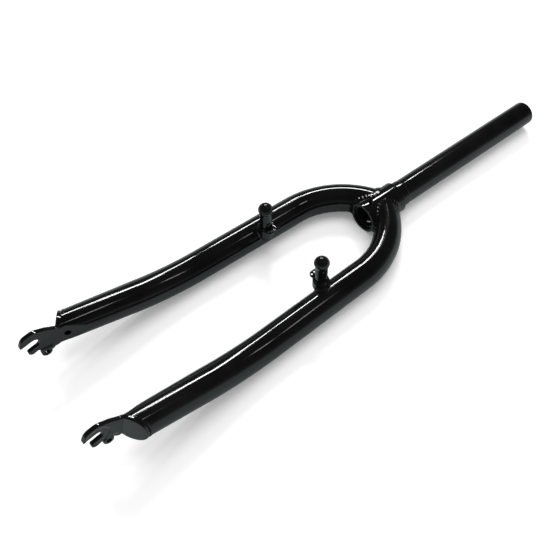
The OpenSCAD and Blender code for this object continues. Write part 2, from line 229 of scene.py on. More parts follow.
def rim(points, cells):
    """The grid points round the rectangle of cells (i0, i1, j0, j1), in order."""
    i0, i1, j0, j1 = cells
    return np.concatenate(
        [points[i0:i1, j0], points[i1, j0:j1], points[i1:i0:-1, j1], points[i0, j1:j0:-1]]
    )


def hole_patch(border, centre, axes, radius, onto):
    """Rings from a round hole out to a border, laid onto the surface."""
    e1, e2 = axes
    turn = np.arctan2((border - centre) @ e2, (border - centre) @ e1)
    if np.sin(np.diff(turn)).sum() < 0:
        border, turn = border[::-1], turn[::-1]
    first = int(np.argmin(turn))
    border, turn = np.roll(border, -first, 0), np.roll(turn, -first)
    circle = centre + radius * (np.cos(turn)[:, None] * e1 + np.sin(turn)[:, None] * e2)
    share = np.array([0.0, 0.06, 0.2, 0.45, 0.72])[:, None, None]
    rings = onto(circle[None] * (1 - share) + border[None] * share)
    return np.concatenate([rings, border[None]]), circle


def build(name, parts, slot=PAINT, sharp=38.0):
    """One closed piece from its surfaces, each (points in mm, faces), merged at shared points;
    edges of more than sharp degrees stay crisp."""
    points, faces, start = [], [], 0
    for p, f in parts:
        points.append(np.asarray(p, float))
        faces.extend((np.asarray(f) + start).tolist())
        start += len(p)
    mesh = bpy.data.meshes.new(name)
    mesh.from_pydata((np.vstack(points) * 0.001).tolist(), [], faces)
    bm = bmesh.new()
    bm.from_mesh(mesh)
    bmesh.ops.remove_doubles(bm, verts=bm.verts, dist=2e-6)
    bmesh.ops.dissolve_degenerate(bm, edges=bm.edges, dist=1e-7)
    bmesh.ops.recalc_face_normals(bm, faces=bm.faces)
    bm.to_mesh(mesh)
    bm.free()
    mesh.shade_smooth()
    mesh.set_sharp_from_angle(angle=math.radians(sharp))
    mesh.materials.append(finish(slot))
    piece = bpy.data.objects.new(name, mesh)
    bpy.context.scene.collection.objects.link(piece)
    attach(piece, "root")
    return piece


def both_sides(name, parts, node, slot=PAINT, sharp=38.0):
    """The piece for the +Y leg and its mirror image; each takes the place of its CAD node."""
    for side, sign in (("right", 1.0), ("left", -1.0)):
        turned = [(p * np.array([1.0, sign, 1.0]), f) for p, f in parts]
        piece = build(f"{name}_{side}", turned, slot, sharp)
        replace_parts(piece, f"{node}_{side}")


def rounded(corners, steps=5, closed=True):
    """A path with its corners [x, y, r] turned into arcs."""
    pts = [np.array(c[:2], float) for c in corners]
    n, out = len(corners), []
    for i, c in enumerate(corners):
        r = c[2] if len(c) > 2 else 0.0
        if r == 0 or (not closed and i in (0, n - 1)):
            out.append(pts[i][None])
            continue
        u, v = pts[i - 1] - pts[i], pts[(i + 1) % n] - pts[i]
        u, v = u / np.linalg.norm(u), v / np.linalg.norm(v)
        half = math.acos(float(np.clip(u @ v, -1, 1))) / 2
        mid = pts[i] + (u + v) / np.linalg.norm(u + v) * r / math.sin(half)
        s, e = pts[i] + u * r / math.tan(half) - mid, pts[i] + v * r / math.tan(half) - mid
        a0, turn = math.atan2(s[1], s[0]), math.atan2(s[0] * e[1] - s[1] * e[0], s @ e)
        a = a0 + turn * np.linspace(0, 1, steps + 1)
        out.append(mid + r * np.stack([np.cos(a), np.sin(a)], 1))
    return np.vstack(out)


def spaced(path, step):
    """The path with points added so that no side is longer than step."""
    out = []
    for a, b in zip(path[:-1], path[1:]):
        k = max(1, int(math.ceil(np.linalg.norm(b - a) / step)))
        out.append(a + (b - a) * (np.arange(k) / k)[:, None])
    return np.vstack(out + [path[-1:]])


def lathe(profile, count, axis):
    """A profile [along, radius] turned about the X or Z axis."""
    t = np.arange(count) / count * TAU
    along, r = profile[:, 0][:, None], profile[:, 1][:, None]
    c, s = r * np.cos(t), r * np.sin(t)
    a = along + 0 * c
    return np.stack([a, c, s] if axis == "x" else [c, s, a], -1)


def smooth_max(a, b, k):
    """The larger of two values, with the corner between them rounded over k."""
    return 0.5 * (a + b + np.sqrt((a - b) ** 2 + k * k))


# Blade shape


def leg_frame():
    """The +Y leg: down the blade, towards the wheel, the crown bend's end and its centre."""
    a = rad("splay")
    down = np.array([-math.cos(a), math.sin(a), 0.0])
    inward = np.array([-math.sin(a), -math.cos(a), 0.0])
    end = np.array([-mm("bend_drop"), mm("bend_half_gap"), 0.0])
    return down, inward, end, end + mm("bend_radius") * inward


def stations():
    """Arc lengths where the bend, the straight, the rake curve and the tip end."""
    bend = mm("bend_radius") * rad("bend_angle")
    straight = bend + mm("straight")
    rake = straight + mm("rake_radius") * rad("rake_angle")
    return bend, straight, rake, rake + mm("tip_length")


def spine(s):
    """Centre line of the +Y blade at arc length s: its point, its tangent, and the directions
    across the tube away from the wheel and to the front."""
    down, inward, end, middle = leg_frame()
    bend, straight, rake, _ = stations()
    s = np.asarray(s, float)[..., None]
    back = np.clip((bend - s) / mm("bend_radius"), 0, None)
    a0 = math.atan2(inward[1], inward[0])
    wheel = np.concatenate([np.cos(a0 - back), np.sin(a0 - back), 0 * back], -1)
    tilt = np.clip((s - straight) / mm("rake_radius"), 0, rad("rake_angle"))
    raked = down * np.cos(tilt) + FRONT * np.sin(tilt)
    tangent = np.where(s < bend, np.cross(wheel, FRONT), raked)
    up = FRONT * np.cos(tilt) - down * np.sin(tilt)
    run = np.clip(s - bend, 0, mm("straight"))
    arc = mm("rake_radius") * (np.sin(tilt) * down + (1 - np.cos(tilt)) * FRONT)
    past_bend = end + run * down + arc + np.clip(s - rake, 0, None) * tangent
    centre = np.where(s < bend, middle - mm("bend_radius") * wheel, past_bend)
    return centre, tangent, -wheel, up


def blade_radius(s):
    """Tube radius: even down to the rake, then an even taper to the dropout bend line."""
    _, _, rake, tip = stations()
    share = np.clip((s - rake) / (tip - rake), 0, 1.5)
    return (mm("blade_diameter") + (mm("tip_diameter") - mm("blade_diameter")) * share) / 2


def blade_point(s, a):
    """Point of the blade's outside at arc length s and angle a from its outer side towards the
    front. The circle turns to an ellipse in the crown bend, with faint ripples 8.5 mm apart on
    its inner side, as a tube pressed round a former has."""
    bend = stations()[0]
    centre, _, out, up = spine(s)
    squeeze = mm("bend_squeeze") / 1000 * np.exp(-(((s - 0.5 * bend) / (0.42 * bend)) ** 4))
    inner = np.clip(-np.cos(a), 0, 1) ** 1.5 * np.exp(-(((s - 0.55 * bend) / (0.36 * bend)) ** 4))
    ripple = 0.10 * inner * np.sin(s / 8.5 * TAU + 1.3 * np.sin(s / 23.0) + 0.6 * np.sin(a * 2))
    r = blade_radius(s) + ripple
    across = (r * (1 - squeeze) * np.cos(a))[..., None] * out
    return centre + across + (r * (1 + 0.3 * squeeze) * np.sin(a))[..., None] * up


def dropout_origin():
    """Where the tip's centre line meets the bend line, moved to the hub face, and how far."""
    centre = spine(np.array([stations()[3]]))[0][0]
    return np.array([centre[0], mm("hub_width") / 2, centre[2]]), centre[1] - mm("hub_width") / 2


def raked_axes(p):
    """From the frame's axes to the dropout's (down the blade, out of the hub face, to the
    front), or back: the turn undoes itself."""
    b = rad("rake_angle")
    x, z = p[..., 0], p[..., 2]
    return np.stack(
        [-x * math.cos(b) + z * math.sin(b), p[..., 1], x * math.sin(b) + z * math.cos(b)], -1
    )


def to_dropout(p):
    return raked_axes(p - dropout_origin()[0])


def from_dropout(q):
    return dropout_origin()[0] + raked_axes(q)


def press_side(p):
    """The tube's inner side pressed flat towards the dropout: a plane that leaves the hub face
    8 mm above the bend line and passes 2 mm clear of the tube 22 mm on."""
    q = to_dropout(p)
    _, offset = dropout_origin()
    slope = (offset - mm("tip_diameter") / 2 - 2.0) / 22.0
    q[..., 1] = smooth_max(q[..., 1], np.clip(-8.0 - q[..., 0], 0, None) * slope, 0.5)
    return from_dropout(q)


def fold_face(y):
    """Where the fold's upper face stands down the blade, y out of the hub face."""
    r, a = mm("fold_radius") + mm("plate"), rad("fold_angle")
    turn_y = r * (1 - math.cos(a))
    arc = -np.sqrt(np.clip(r * r - (r - np.clip(y, 0, turn_y)) ** 2, 0, None))
    return np.where(y < turn_y, arc, -r * math.sin(a) - (y - turn_y) / math.tan(a))


def solve(low, high, f, turns=40):
    """Where f, below zero at low, rises through zero before high: by halves."""
    low, high = np.array(low, float), np.array(high, float)
    for _ in range(turns):
        mid = (low + high) / 2
        below = f(mid) < 0
        low, high = np.where(below, mid, low), np.where(below, high, mid)
    return (low + high) / 2


def mitre(a, radius):
    """Arc length at which the blade's outside leaves a cylinder round the steerer axis."""

    def outside(s):
        return np.linalg.norm(blade_point(s, a)[..., 1:], axis=-1) - radius

    return solve(0 * a - 10, 0 * a + 40, outside)


def seam(a):
    """Arc length at which the blade's outside meets the fold's upper face."""
    tip = stations()[3]

    def gap(s):
        q = to_dropout(press_side(blade_point(s, a)))
        return q[..., 0] - fold_face(q[..., 1])

    return solve(0 * a + tip - 40, 0 * a + tip + 6, gap)


# Materials


def add(tree, kind, settings=None, links=None, **attributes):
    """Adds a node with attributes, input values and links from outputs to its inputs."""
    item = tree.nodes.new(kind)
    for key, value in attributes.items():
        setattr(item, key, value)
    for key, value in (settings or {}).items():
        item.inputs[key].default_value = value
    for key, source in (links or {}).items():
        tree.links.new(source, item.inputs[key])
    return item


def new_material(name):
    material = bpy.data.materials.new(name)
    material.use_nodes = True
    tree = material.node_tree
    tree.nodes.clear()
    return material, tree


def ramp(tree, source, stops):
    """A ramp of greys or colours, each stop (position, value)."""
    item = add(tree, "ShaderNodeValToRGB", links={"Fac": source})
    while len(item.color_ramp.elements) < len(stops):
        item.color_ramp.elements.new(0.5)
    for element, (at, value) in zip(item.color_ramp.elements, stops):
        rgb = tuple(value) if hasattr(value, "__len__") else (value,) * 3
        element.position, element.color = at, (*rgb, 1.0)
    return item.outputs["Color"]


def noise(tree, scale, detail, roughness):
    """Noise on the object's own metres; scale is in cells per metre."""
    where = add(tree, "ShaderNodeTexCoord").outputs["Object"]
    settings = {"Scale": scale, "Detail": detail, "Roughness": roughness}
    return add(tree, "ShaderNodeTexNoise", settings, {"Vector": where}).outputs["Fac"]


def bump(tree, height, strength, distance):
    settings = {"Strength": strength, "Distance": distance}
    return add(tree, "ShaderNodeBump", settings, {"Height": height}).outputs["Normal"]


def gloss_black_enamel(tree, c):
    """Black stoving enamel on steel tube: sharp reflections that waver over an orange peel with
    cells of 2.5 mm, and a faint haze of dust in patches of some 36 mm."""
    peel, haze = noise(tree, 400.0, 1.0, 0.4), noise(tree, 28.0, 5.0, 0.62)
    look = {
        "Base Color": ramp(tree, haze, [(0.35, c.enamel), (0.75, c.enamel_dust)]),
        "Roughness": ramp(tree, haze, [(0.3, 0.06), (0.8, 0.12)]),
        "Normal": bump(tree, peel, 0.25, 0.00004),
    }
    return {"Metallic": 0.0, "IOR": 1.53, "Specular IOR Level": 0.5}, look


def moulded_cap(tree, c):
    """Moulded black plastic of the caps: as glossy as the enamel, with a mould grain of 1 mm."""
    skin = noise(tree, 900.0, 2.0, 0.5)
    look = {
        "Base Color": ramp(tree, skin, [(0.3, c.rubber), (0.8, c.enamel_dust)]),
        "Roughness": ramp(tree, skin, [(0.3, 0.07), (0.8, 0.13)]),
        "Normal": bump(tree, skin, 0.3, 0.00002),
    }
    return {"IOR": 1.51}, look


def dusty_bore(tree, c):
    """Bare steel inside the steerer under a dry mist of overspray, in flecks of about 3 mm."""
    mist = noise(tree, 350.0, 4.0, 0.6)
    look = {
        "Base Color": ramp(tree, mist, [(0.3, c.enamel), (0.7, c.bore)]),
        "Roughness": ramp(tree, mist, [(0.3, 0.35), (0.7, 0.6)]),
    }
    return {"IOR": 1.5}, look


# Slots, and the inside of the steerer, with the finish of each
FINISHES = {
    PAINT: ("gloss_black_stoving_enamel", gloss_black_enamel),
    "cap_black": ("moulded_black_polyethylene", moulded_cap),
    "bore": ("oversprayed_steel_bore", dusty_bore),
}


def finish(key):
    """A finish of the fork, made once and shared."""
    name, maker = FINISHES[key]
    if name in bpy.data.materials:
        return bpy.data.materials[name]
    material, tree = new_material(name)
    shader = add(tree, "ShaderNodeBsdfPrincipled", *maker(tree, bpy.context.scene.fork_colours))
    add(tree, "ShaderNodeOutputMaterial", links={"Surface": shader.outputs["BSDF"]})
    return material


# Pieces

HOLE_MARGIN = 1.6  # mm of wall round a bolt hole that its rings fill


def drilled_tube(profile, count, drop, radius, walls):
    """A tube turned from a closed profile about X, with a bolt hole through it front to back:
    rings round the hole fill an opening in each wall, and its own wall joins the two circles."""
    skin = lathe(profile, count, "x")
    across = (np.array([1.0, 0, 0]), np.array([0, 1.0, 0]))
    half = int(math.ceil((radius + HOLE_MARGIN) / (min(walls) * TAU / count)))
    at_hole = np.abs(profile[:, 0] + drop) < radius + HOLE_MARGIN + 0.6
    parts, skip = [], []
    for quarter, sign in ((count // 4, 1.0), (3 * count // 4, -1.0)):
        circles = []
        for wall_radius in walls:
            on_wall = np.where((np.abs(profile[:, 1] - wall_radius) < 1e-6) & at_hole)[0]
            cells = (on_wall[0], on_wall[-1], quarter - half, quarter + half)
            skip.append(cells)
            centre = np.array([-drop, 0.0, sign * wall_radius])

            def onto(p, r=wall_radius):
                return np.concatenate([p[..., :1], unit(p[..., 1:]) * r], -1)

            rings, circle = hole_patch(rim(skin, cells), centre, across, radius, onto)
            rings[0] = circle
            rings[0, :, 2] = sign * np.sqrt(np.clip(wall_radius**2 - circle[:, 1] ** 2, 0, None))
            parts.append(sheet(rings, wrap_n=True))
            circles.append(rings[0])
        parts.append(sheet(np.stack(circles), wrap_n=True))
    parts.append(sheet(skin, wrap_m=True, wrap_n=True, skip=skip))
    return parts


class FORK_OT_steerer(bpy.types.Operator):
    """The steerer tube with its race seat, and the crown sleeve round its lower end"""

    bl_idname = "fork.steerer"
    bl_label = "Steerer and crown sleeve"

    def execute(self, context):
        count = 96
        outer = mm("steerer_diameter") / 2
        bore, race = outer - mm("steerer_wall"), mm("race_diameter") / 2
        drop, hole = mm("crown_hole_drop"), mm("crown_hole") / 2
        low, top = mm("steerer_recess") - mm("sleeve_length"), mm("steerer_length")
        seat_end = mm("race_length")
        edge = hole + HOLE_MARGIN
        near = [-drop + d for d in (-edge, -1.5, 1.5, edge)]
        tube = rounded(
            [(low, bore, 0.3), (low, outer, 0.2)]
            + [(x, outer) for x in near]
            + [(0.2, outer), (0.2, race, 0.12), (seat_end, race, 0.35)]
            + [(seat_end + 0.6, outer, 0.5)]
            + [(x, outer) for x in np.linspace(20, top - 8, 8)]
            + [(top, outer, 1.1), (top, bore, 0.3)]
            + [(x, bore) for x in near[::-1]]
        )
        parts = drilled_tube(tube, count, drop, hole, (outer, bore))
        steerer = build("steerer", parts)
        steerer.data.materials.append(finish("bore"))
        for face in steerer.data.polygons:
            if math.hypot(face.center.y, face.center.z) * 1000 < bore + 0.2:
                face.material_index = 1
        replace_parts(steerer, "steerer_tube")

        shell, inside, foot = mm("sleeve_diameter") / 2, outer + 0.1, -mm("sleeve_length")
        sleeve = rounded(
            [(foot + 1.2, inside, 0.3), (foot, inside + 0.7, 0.3), (foot, shell, 0.45)]
            + [(x, shell) for x in near]
            + [(-1.0, shell, 0.6), (0.0, shell - 1.0, 0.3), (0.0, inside, 0.1)]
            + [(x, inside) for x in near[::-1]]
        )
        parts = drilled_tube(sleeve, count, drop, hole, (shell, inside))
        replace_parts(build("crown_sleeve_painted", parts), "crown_sleeve")
        return {"FINISHED"}


class FORK_OT_blades(bpy.types.Operator):
    """The two bent blades, mitred to the sleeve, pressed flat inside and slanted at the dropout"""

    bl_idname = "fork.blades"
    bl_label = "Blades"

    def execute(self, context):
        # Rows of points: even shares between the mitre and the head, fixed steps down to the
        # foot, and even shares again to the slanted end, which laps 0.25 mm into the fold
        count = 96
        a = np.arange(count) / count * TAU
        bend, straight, rake, tip = stations()
        first, last = mitre(a, mm("sleeve_diameter") / 2 - 0.5), seam(a) + 0.25
        head, foot = 34.0, tip - 34.0
        spans = ((head, bend + 12, 1.4), (bend + 13, straight, 5.0), (straight, rake, 3.0))
        knots = np.concatenate([np.arange(*span) for span in (*spans, (rake, foot - 1.0, 3.0))])
        upper = first + (head - first) * np.linspace(0, 1, 24)[:-1, None]
        lower = foot + (last - foot) * np.linspace(0, 1, 40)[:, None]
        rows = np.concatenate([upper, knots[:, None] + 0 * a, lower])
        skin = press_side(blade_point(rows, a[None] + 0 * rows))

        # Vent hole in the pressed side, with a short well behind it
        vent, reach, middle = mm("vent") / 2, 9.4, count // 2
        q = to_dropout(skin)
        line = q[:, middle, 0]
        i0 = int(np.argmin(np.abs(line + reach + vent + HOLE_MARGIN)))
        i1 = int(np.argmin(np.abs(line + reach - vent - HOLE_MARGIN)))
        spread = np.abs(q[(i0 + i1) // 2, :, 2])
        half = int(np.argmax(spread[middle:] > vent + 1.5))
        cells = (i0, i1, middle - half, middle + half)

        def onto(p):
            """Moved along Y onto the pressed plane."""
            flat = to_dropout(p)
            flat[..., 1] = -100.0
            return press_side(from_dropout(flat))

        zero = np.zeros(3)
        axes = [from_dropout(v) - from_dropout(zero) for v in (np.array([1.0, 0, 0]), FRONT)]
        centre = from_dropout(np.array([-reach, 0.0, 0.0]))
        rings, _ = hole_patch(rim(skin, cells), centre, axes, vent, onto)
        well = np.stack([rings[0] + np.array([0, depth, 0]) for depth in (0.0, 0.2, 2.4, 5.0)])
        well[1] = well[1].mean(0) + (well[1] - well[1].mean(0)) * 0.97
        parts = [
            sheet(skin, wrap_n=True, skip=[cells]),
            sheet(rings, wrap_n=True),
            sheet(well, wrap_n=True),
            fan(well[-1]),
            fan(skin[0]),
            fan(skin[-1]),
        ]
        both_sides("blade_tube", parts, "blade", sharp=50.0)
        return {"FINISHED"}


def fillet(p, na, nb, leg, rise, feet):
    """Rings of a weld fillet between two surfaces with outward normals na and nb: from a foot on
    the first, over a raised face, to a foot on the second, and back underneath."""
    k = (na * nb).sum(-1, keepdims=True)
    sa, sb, mid = unit(nb - k * na), unit(na - k * nb), unit(na + nb)
    foot_a, foot_b = feet[0](p + leg * sa), feet[1](p + leg * sb)
    t = np.linspace(0, 1, 9)[:, None, None]
    face = foot_a + (foot_b - foot_a) * t + mid * rise * (4 * t * (1 - t)) ** 0.8
    under = (p - 0.6 * mid)[None]
    return np.concatenate([face, under]).transpose(1, 0, 2)


def scale_marks(n, pitch_count, seed):
    """Height along a weld: scales with a steep back, their sizes varied by slow waves."""
    u = np.arange(n) / n
    slow, fast = np.sin(TAU * (3 * u + seed)), np.sin(TAU * (7 * u + 2 * seed))
    saw = (u * pitch_count + 0.35 * slow + 0.2 * fast) % 1.0
    return (1 - saw) ** 0.7 * np.clip(saw / 0.12, 0, 1)


def ends_faded(n, slope, least):
    """Share of the full bead along an open weld: falls evenly to the least at both ends."""
    share = np.linspace(0, 1, n)
    return np.clip(np.minimum(share, 1 - share) * slope, least, 1)[:, None]


def open_bead(rings):
    """An open weld bead with both its ends closed."""
    return [sheet(rings, wrap_n=True), fan(rings[0]), fan(rings[-1])]


WELD_SHARP = 70.0  # degrees


def weld_crown():
    """Round each blade where it meets the sleeve."""
    n, step = 420, 1e-3
    a = np.arange(n) / n * TAU
    shell = mm("sleeve_diameter") / 2
    s = mitre(a, shell)
    p = blade_point(s, a)
    nb = unit(np.cross(blade_point(s + step, a) - p, blade_point(s, a + step) - p))
    nb *= np.sign(((p - spine(s)[0]) * nb).sum(-1, keepdims=True))
    na = unit(p * np.array([0, 1.0, 1.0]))
    middle = leg_frame()[3]

    def to_sleeve(q):
        return np.concatenate([q[..., :1], unit(q[..., 1:]) * (shell - 0.06)], -1)

    def to_bend(q):
        """The blade's own point nearest to q, a hair under its surface."""
        d = q - middle
        turn = np.arctan2(d[..., 0], d[..., 1]) - rad("splay")
        along = stations()[0] - mm("bend_radius") * turn
        c, _, out, up = spine(along)
        d = q - c
        foot = blade_point(along, np.arctan2((d * up).sum(-1), (d * out).sum(-1)))
        return foot + (c - foot) * 0.006

    marks = scale_marks(n, 36, 0.2)[:, None]
    leg = 3.0 + 0.35 * np.sin(3 * a + 1)[:, None] + 0.25 * marks
    rings = fillet(p, na, nb, leg, 0.1 + 0.35 * marks, (to_sleeve, to_bend))
    parts = [sheet(rings, wrap_m=True, wrap_n=True)]
    both_sides("crown_bead", parts, "crown_weld", sharp=WELD_SHARP)


def weld_boss():
    """Round the outer side of each boss collar, thinning out at its ends."""
    n = 150
    turn = np.radians(np.linspace(-4, 184, n))
    base, blade_r = mm("boss_collar") / 2 - 0.1, mm("blade_diameter") / 2
    down, inward, end, _ = leg_frame()
    axis = np.array([-mm("boss_drop"), mm("boss_gap") / 2])
    around = np.stack([np.cos(turn), np.sin(turn)], -1)
    flat = np.concatenate([axis + base * around, np.zeros((n, 1))], -1)
    across = (flat - end) @ inward
    p = flat + np.sqrt(np.clip(blade_r**2 - across**2, 0.01, None))[:, None] * FRONT

    def on_axis(q):
        """The point of the straight blade's centre line beside q."""
        return end + ((q - end) @ down)[..., None] * down

    def to_boss(q):
        spot = axis + unit(q[..., :2] - axis) * (base - 0.05)
        return np.concatenate([spot, q[..., 2:]], -1)

    def to_leg(q):
        c = on_axis(q)
        return c + unit(q - c) * (blade_r - 0.05)

    na = np.concatenate([around, np.zeros((n, 1))], -1)
    nb = (p - on_axis(p)) / blade_r
    fade, marks = ends_faded(n, 7, 0.12), scale_marks(n, 11, 0.4)[:, None]
    leg, rise = (2.6 + 0.3 * marks) * fade, (0.25 + 0.35 * marks) * fade
    parts = open_bead(fillet(p, na, nb, leg, rise, (to_boss, to_leg)))
    both_sides("boss_bead", parts, "boss_weld", sharp=WELD_SHARP)


def weld_dropout():
    """Over the seam between blade end and fold, round the outer side: a low smooth bead whose
    face is a parabola across its width."""
    n = 200
    a = np.linspace(math.radians(103), math.radians(-103), n)
    s = seam(a)
    p = press_side(blade_point(s, a))
    centre, tangent, _, _ = spine(s)
    out = p - centre
    out = unit(out - (out * tangent).sum(-1, keepdims=True) * tangent)
    wave, fade = np.sin(9 * a + 0.8 * np.sin(4 * a))[:, None], ends_faded(n, 9, 0.15)
    width, height = (1.15 + 0.06 * wave) * fade, (0.42 + 0.04 * wave) * fade
    t = np.linspace(-1, 1, 9)[:, None, None]
    face = p + tangent * width * t + out * (height * (1 - t**2) - 0.08 - 0.35 * t**8)
    under = (p - 0.8 * out)[None]
    parts = open_bead(np.concatenate([face, under]).transpose(1, 0, 2))
    both_sides("dropout_bead", parts, "dropout_weld", sharp=WELD_SHARP)


class FORK_OT_welds(bpy.types.Operator):
    """The weld beads at the crown, the brake bosses and the dropouts"""

    bl_idname = "fork.welds"
    bl_label = "Weld beads"

    def execute(self, context):
        weld_crown()
        weld_boss()
        weld_dropout()
        return {"FINISHED"}


def offset_path(path, distance):
    """A closed path moved to its left, along the mean normal of its two sides."""
    ahead, behind = unit(np.roll(path, -1, 0) - path), unit(path - np.roll(path, 1, 0))
    normal = np.stack([-(ahead + behind)[:, 1], (ahead + behind)[:, 0]], 1)
    size = (normal**2).sum(1, keepdims=True)
    return path + distance * normal * 2 / np.clip(size, 1.2, None)


def circle_path(centre, radius, count, clockwise=False):
    t = np.arange(count) / count * TAU * (-1 if clockwise else 1)
    return np.array(centre) + radius * np.stack([np.cos(t), np.sin(t)], 1)


def inside_loops(loops, spots):
    """Which spots a ray to the right leaves through an odd number of the loops' sides."""
    inside = np.zeros(len(spots), bool)
    for loop in loops:
        x1, y1 = loop[:, 0], loop[:, 1]
        x2, y2 = np.roll(x1, -1), np.roll(y1, -1)
        spans = (y1[None] > spots[:, 1:]) != (y2[None] > spots[:, 1:])
        rise = np.where(y2 == y1, 1e-12, y2 - y1)[None]
        crossing = (x2 - x1)[None] * (spots[:, 1:] - y1[None]) / rise + x1[None]
        inside ^= (spans & (spots[:, :1] < crossing)).sum(1) % 2 == 1
    return inside


def plate_solid(outline, holes, thickness, edge, place, spacing, dent=None):
    """A flat plate with holes and rounded edges, bent by place(u, v, h). Its faces are filled
    with triangles over a grid of points. outline runs anticlockwise and holes clockwise, so a
    step to the left is into the plate. dent is a round hollow in the far face: centre, radius,
    depth and two circles of points beside its edge."""
    quarter = np.radians([0, 22.5, 45, 67.5, 90])
    steps = [(edge * (1 - math.cos(q)), edge * (1 - math.sin(q))) for q in quarter]
    rings_at = [(i, h) for i, h in reversed(steps)] + [(i, thickness - h) for i, h in steps]
    parts, loops = [], [outline, *holes]

    def level(p, h):
        """Height in the plate, lowered at the far face inside the dent."""
        if dent is None:
            return 0 * p[:, 0] + h
        centre, radius, depth, _ = dent
        away = np.linalg.norm(p - centre, axis=1)
        return h - h / thickness * depth * np.clip((radius + 0.25 - away) / 0.5, 0, 1)

    for loop in loops:
        rings = []
        for inset, h in rings_at:
            flat = offset_path(loop, inset)
            rings.append(place(flat[:, 0], flat[:, 1], level(flat, h)))
        parts.append(sheet(np.stack(rings), wrap_n=True))

    flat_loops = [offset_path(loop, rings_at[0][0]) for loop in loops]
    flat, edges, start = np.vstack(flat_loops), [], 0
    for loop in flat_loops:
        k = len(loop)
        edges += [(start + i, start + (i + 1) % k) for i in range(k)]
        start += k
    low, high = flat.min(0), flat.max(0)
    u, v = np.meshgrid(*(np.arange(low[i], high[i], spacing) for i in (0, 1)))
    extra = np.stack([u.ravel(), v.ravel()], 1)
    if dent is not None:
        centre, radius, _, circles = dent
        off_edge = np.abs(np.linalg.norm(extra - centre, axis=1) - radius) > 0.8
        extra = np.vstack([extra[off_edge], *circles])
    gap = np.sqrt(((extra[:, None] - flat[None]) ** 2).sum(-1)).min(1)
    points = [Vector(p) for p in np.vstack([flat, extra[gap > 0.45]])]
    points, _, faces, _, _, _ = delaunay_2d_cdt(points, edges, [], 0, 1e-6)
    points, faces = np.array([tuple(p) for p in points]), np.array(list(faces))
    faces = faces[inside_loops(flat_loops, points[faces].mean(1))]
    used, faces = np.unique(faces, return_inverse=True)
    points, faces = points[used], faces.reshape(-1, 3)
    for h in (0.0, thickness):
        parts.append((place(points[:, 0], points[:, 1], level(points, h)), faces))
    return parts


# Corners of the dropout plate, the mean of both legs on the photograph: mm down the blade from
# the bend line (REAR_FINGER: from the axle), mm to the front, and the corner's radius
FRONT_EDGE = ((9.5, 14.6, 16.0), (20.5, 17.0, 10.0), (30.4, 12.6, 8.0), (32.5, 4.6, 2.6))
REAR_FINGER = ((6.0, -8.0, 3.0), (1.6, -9.6, 3.0), (-3.6, -6.6, 1.8))
REAR_NECK = (4.4, -11.6, 1.5)
EYELET_AT = np.array([10.0, -12.2])
FRONT_SLOT_SIDE, REAR_SLOT_SIDE = (10.6, 1.4), (8.0, 1.2)  # length past the axle, tip radius


def bent(w, h):
    """Along the plate w, at height h, round the fold, which takes up its own arc: how far down
    the blade and how far out of the hub face."""
    top, turn = mm("fold_radius") + mm("plate"), rad("fold_angle")
    neutral = mm("fold_radius") + mm("plate") / 2
    t = np.clip(-w / neutral, 0, turn)
    rest = np.clip(-w - neutral * turn, 0, None)
    rho = top - h
    x = np.where(w > 0, w, -rho * np.sin(t) - rest * math.cos(turn))
    return x, top - rho * np.cos(t) + rest * math.sin(turn)


def place_plate(w, v, h):
    """The bent plate, with its eyelet pressed towards the hub down an even slope."""
    x, y = bent(w, h)
    lug = np.clip((-v - 5.2) / 3.0, 0, 1) * np.clip((17.2 - w) / 2.4, 0, 1)
    lug = lug * np.clip((w - 1.5) / 3.5, 0, 1)
    return from_dropout(np.stack([x, y - mm("eyelet_set") * lug * lug * (3 - 2 * lug), v], -1))


def half_width(w):
    """Half the width that the blade's end leaves for the plate at w, and its square before
    negative values are cut off."""
    x, y = bent(w, mm("plate") / 2 + 0 * w)
    lean = math.sin(rad("splay")) * math.cos(rad("rake_angle"))
    taper = (mm("blade_diameter") - mm("tip_diameter")) / 2 / mm("tip_length")
    r = mm("tip_diameter") / 2 - 0.12 - taper * x
    square = r * r - (y - dropout_origin()[1] - lean * x) ** 2
    return np.sqrt(np.clip(square, 0, None)), square


def plate_outline(axle):
    """The flat plate: up the leaf on one side, round the dropout, and up the leaf's other side."""
    run = -np.arange(0, 45, 0.02)
    last = run[np.argmax(half_width(run)[1] <= 0.0)]
    w_leaf = last * (1 - np.linspace(0, 1, 40)[:-1] ** 2)
    v_leaf = half_width(w_leaf)[0]
    neck = half_width(np.array([0.0]))[0][0]
    slot, slant = mm("slot_width") / 2, rad("slot_angle")
    along = np.array([math.cos(slant), -math.sin(slant)])
    square = np.array([math.sin(slant), math.cos(slant)])
    front_tip = axle + FRONT_SLOT_SIDE[0] * along + slot * square
    rear_tip = axle + REAR_SLOT_SIDE[0] * along - slot * square
    turns = np.radians(np.linspace(100, 260, 15))
    slot_end = [axle + slot * (np.cos(b) * along + np.sin(b) * square) for b in turns]
    turns = np.radians(np.linspace(40, -196, 25))
    eyelet = [EYELET_AT + mm("eyelet") / 2 * np.array([math.cos(b), math.sin(b)]) for b in turns]
    plate = rounded(
        [(0.0, neck), *FRONT_EDGE, (*front_tip, FRONT_SLOT_SIDE[1]), *slot_end]
        + [(*rear_tip, REAR_SLOT_SIDE[1]), *((axle[0] + x, y, r) for x, y, r in REAR_FINGER)]
        + [*eyelet, REAR_NECK, (0.0, -neck)],
        closed=False,
    )
    leaf, other = np.stack([w_leaf, v_leaf], 1), np.stack([w_leaf, -v_leaf], 1)[::-1][:-1]
    path = np.vstack([leaf, plate, other])
    outline = spaced(np.vstack([path, path[:1]]), 0.9)[:-1]
    x, y = outline.T
    area = (x * np.roll(y, -1) - np.roll(x, -1) * y).sum()
    outline = outline[::-1] if area < 0 else outline
    return outline[np.linalg.norm(outline - np.roll(outline, 1, 0), axis=1) > 0.12]


